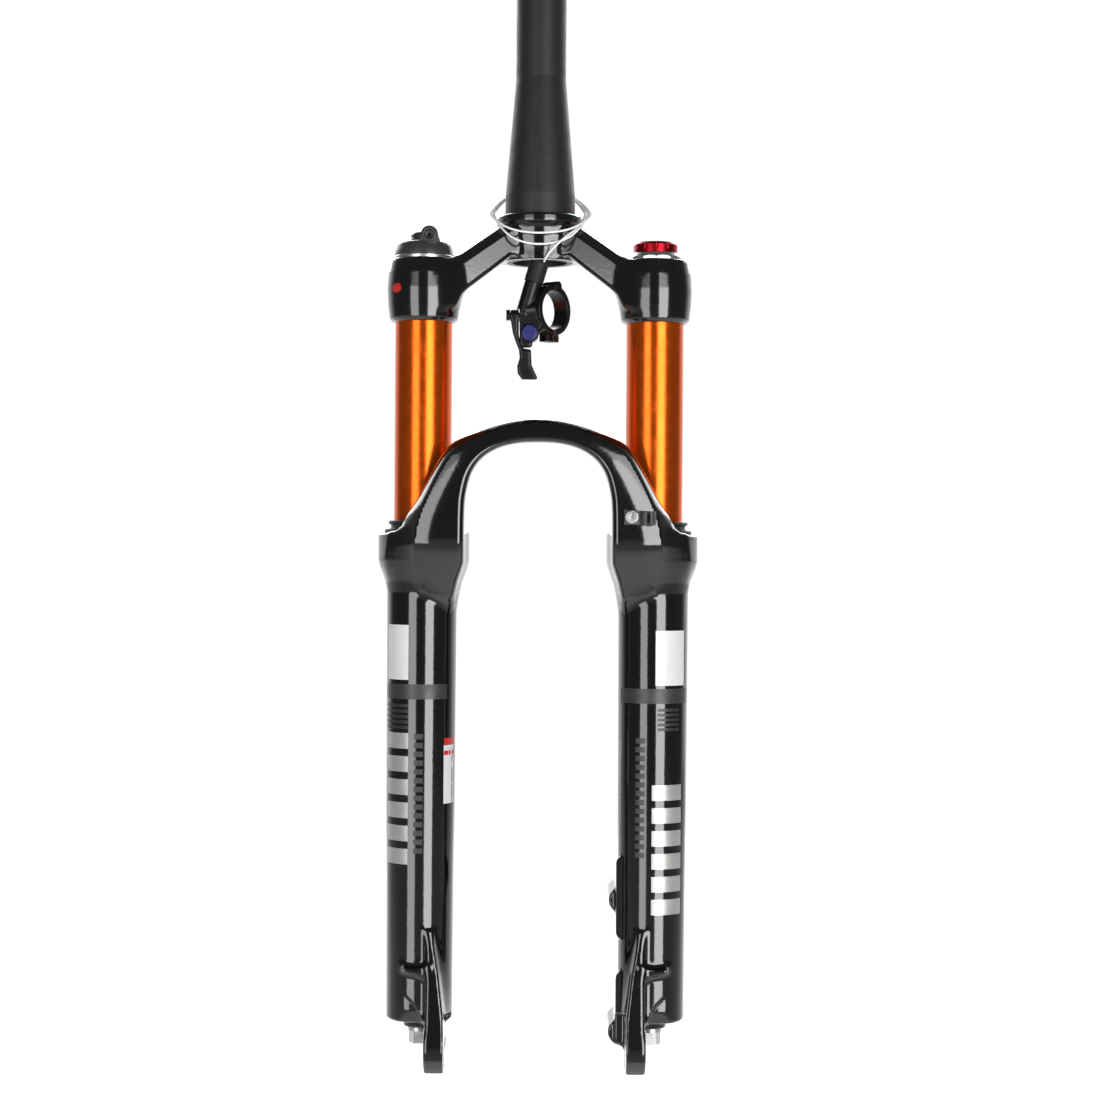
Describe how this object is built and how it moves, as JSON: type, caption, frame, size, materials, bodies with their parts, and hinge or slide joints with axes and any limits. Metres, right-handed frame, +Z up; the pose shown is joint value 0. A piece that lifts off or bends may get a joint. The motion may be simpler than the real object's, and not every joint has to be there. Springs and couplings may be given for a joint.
{
  "type": "suspension fork",
  "caption": "Bicycle air suspension fork with tapered steerer, two stanchions sliding in one-piece lowers, open axle dropouts and a remote lockout lever on its wire.",
  "frame": {"origin": "on the steerer axis at the crown race seat", "axes": "+Z up the steerer, +X towards the rider's left (the air leg), -Y towards the front of the bicycle"},
  "size_m": [0.1794, 0.0944, 0.7338],
  "materials": {
    "steerer_black": "matte",
    "crown_gloss_black": "gloss",
    "casting_gloss_black": "gloss",
    "stanchion_orange": "gloss",
    "dark_anodised": "satin",
    "silver_aluminium": "satin",
    "red_anodised": "satin",
    "bright_steel": "polished",
    "wire_steel": "satin",
    "valve_brass": "satin",
    "dark_housing": "satin",
    "remote_black": "satin",
    "boot_grey": "matte",
    "button_blue": "satin",
    "seal_rubber": "satin",
    "bush_plastic": "satin",
    "oil_foam": "matte",
    "guide_plastic": "satin"
  },
  "bodies": {
    "crown_unit": {"steerer_tube": "steerer_black", "crown": "crown_gloss_black", "damper_stanchion": "stanchion_orange", "air_stanchion": "stanchion_orange", "damper_seal_head": "dark_anodised", "air_seal_head": "dark_anodised", "seal_head_o_rings": "seal_rubber", "retaining_rings": "bright_steel", "damper_top_cap": "silver_aluminium", "lockout_housing": "dark_housing", "compression_tube": "dark_housing", "compression_valve": "silver_aluminium", "compression_valve_o_ring": "seal_rubber", "spool_spring": "bright_steel", "air_top_cap": "silver_aluminium", "valve_body": "valve_brass", "valve_core": "valve_brass", "lockout_cable": "wire_steel", "cable_end_cap": "silver_aluminium"},
    "lowers": {"lower_casting": "casting_gloss_black", "wiper_seals": "seal_rubber", "foam_rings": "oil_foam", "upper_bushings": "bush_plastic", "lower_bushings": "bush_plastic", "damper_shaft": "bright_steel", "rebound_piston": "silver_aluminium", "rebound_piston_ring": "bush_plastic", "air_shaft": "silver_aluminium", "air_piston": "dark_anodised", "air_piston_seal": "seal_rubber", "top_out_bumpers": "seal_rubber", "bottom_out_bumpers": "seal_rubber", "crush_washers": "silver_aluminium", "foot_nuts": "silver_aluminium", "hose_guide": "guide_plastic", "hose_guide_bolt": "bright_steel"},
    "rebound_adjuster": {"rebound_adjuster": "bright_steel"},
    "lockout_spool": {"lockout_spool": "dark_housing", "spool_screw": "bright_steel", "wire_pinch_screw": "bright_steel", "compression_rod": "silver_aluminium"},
    "valve_pin": {"valve_pin": "valve_brass"},
    "air_valve_cap": {"air_valve_cap": "red_anodised"},
    "remote": {"remote_body": "remote_black", "remote_clamp_band": "remote_black", "remote_hinge_pin": "remote_black", "remote_clamp_bolt": "bright_steel", "remote_cable_boot": "boot_grey", "remote_pivot_screw": "remote_black", "button_return_pad": "seal_rubber", "cable_nipple": "bright_steel"},
    "remote_lever": {"remote_lever": "remote_black"},
    "release_button": {"release_button": "button_blue"}
  },
  "joints": [
    {"name": "travel", "type": "slide", "parent": "crown_unit", "child": "lowers", "axis": [0, 0, 1], "range_m": [0, 0.1], "stiffness_N_per_m": 9000, "springref_m": -0.02},
    {"name": "rebound_turn", "type": "hinge", "parent": "lowers", "child": "rebound_adjuster", "pos_m": [-0.065, -0.022, -0.46], "axis": [0, 0, 1], "range_deg": [0, 340]},
    {"name": "lockout_turn", "type": "hinge", "parent": "crown_unit", "child": "lockout_spool", "pos_m": [-0.065, -0.022, -0.015], "axis": [0, 0, 1], "range_deg": [0, 75], "stiffness_Nm_per_rad": 0.05},
    {"name": "valve_press", "type": "slide", "parent": "crown_unit", "child": "valve_pin", "axis": [0, 0, -1], "range_m": [0, 0.0015], "stiffness_N_per_m": 400, "springref_m": -0.001},
    {"name": "valve_cap_off", "type": "slide", "parent": "crown_unit", "child": "air_valve_cap", "axis": [0, 0, 1], "range_m": [0, 0.012]},
    {"name": "remote_swing", "type": "hinge", "parent": "crown_unit", "child": "remote", "pos_m": [0.0022, -0.027, -0.02865], "axis": [0, 1, 0], "range_deg": [-20, 20]},
    {"name": "lever_throw", "type": "hinge", "parent": "remote", "child": "remote_lever", "pos_m": [-0.014, -0.0285, -0.0587], "axis": [1, 0, 0], "range_deg": [0, 35], "stiffness_Nm_per_rad": 0.05, "springref_deg": -5.73},
    {"name": "button_press", "type": "slide", "parent": "remote", "child": "release_button", "axis": [0, 1, 0], "range_m": [0, 0.002], "stiffness_N_per_m": 500, "springref_m": -0.001}
  ]
}
